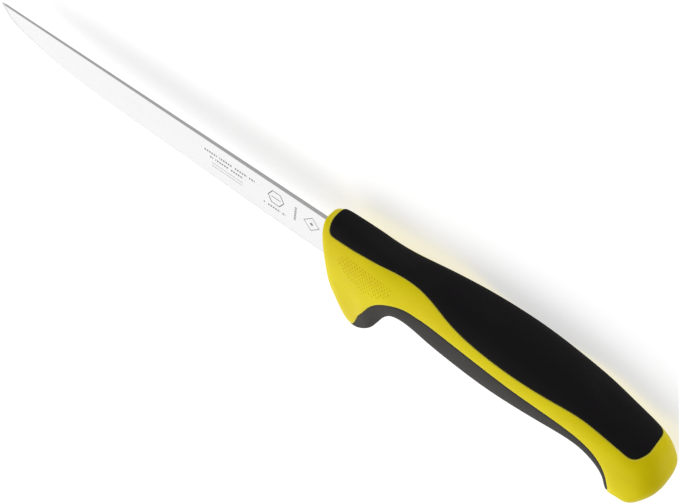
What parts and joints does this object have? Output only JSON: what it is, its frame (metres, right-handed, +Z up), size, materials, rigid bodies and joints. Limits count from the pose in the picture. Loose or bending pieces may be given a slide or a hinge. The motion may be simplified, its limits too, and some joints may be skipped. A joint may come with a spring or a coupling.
{
  "type": "boning knife",
  "caption": "Stiff straight boning knife with a flat-ground blade, a finger guard and a moulded handle with soft grip panels on its back and belly.",
  "frame": {"origin": "on the surface the knife lies on, under the middle of its bounding box", "axes": "+X along the blade to its tip, +Y from the spine to the cutting edge, +Z up through the flank, away from the surface"},
  "size_m": [0.2874, 0.0484, 0.0242],
  "materials": {
    "blade_steel": "satin ground stainless steel with a fine lengthwise grain",
    "handle_plastic": "fine satin yellow polypropylene",
    "soft_grip": "matt black thermoplastic elastomer"
  },
  "bodies": {
    "root": {"blade": "blade_steel", "handle_core": "handle_plastic", "back_grip": "soft_grip", "belly_grip": "soft_grip"}
  },
  "joints": []
}
